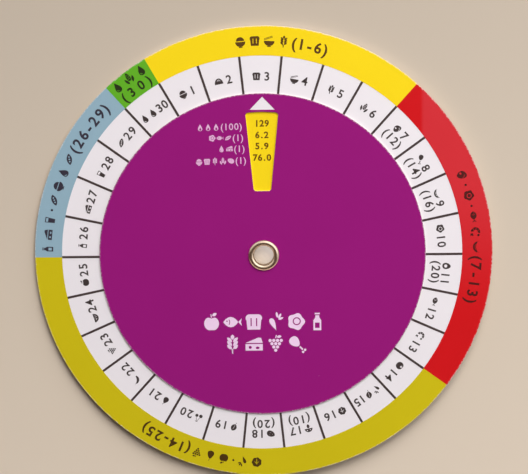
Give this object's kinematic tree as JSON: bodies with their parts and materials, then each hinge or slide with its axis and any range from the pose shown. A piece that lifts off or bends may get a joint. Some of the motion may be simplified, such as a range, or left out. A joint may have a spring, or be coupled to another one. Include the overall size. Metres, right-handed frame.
{
  "type": "diet wheel chart",
  "caption": "Round printed card chart with a smaller window dial that turns without limit on a hollow metal eyelet, to line a window and pointer up with any cell.",
  "frame": {"origin": "on the eyelet's axis, in the plane of the flat land that the eyelet's clinched roll rests on", "axes": "+Z along the eyelet's axis out of the printed face, +Y from the eyelet to the dial's pointer at rest"},
  "size_m": [0.16, 0.16, 0.0038],
  "materials": {
    "card": "gloss",
    "yellow_ink": "gloss",
    "red_ink": "gloss",
    "olive_ink": "gloss",
    "blue_ink": "gloss",
    "green_ink": "gloss",
    "dark_ink": "gloss",
    "purple_ink": "gloss",
    "eyelet_metal": "polished"
  },
  "bodies": {
    "base": {"base_card": "card", "yellow_print": "yellow_ink", "red_print": "red_ink", "olive_print": "olive_ink", "blue_print": "blue_ink", "green_print": "green_ink", "cell_lines": "dark_ink", "eyelet": "eyelet_metal"},
    "dial": {"dial_card": "card", "dial_print": "purple_ink"}
  },
  "joints": [
    {"name": "dial_turn", "type": "hinge", "parent": "base", "child": "dial", "pos_m": [0, 0, 0.00267], "axis": [0, 0, 1], "continuous": true}
  ]
}
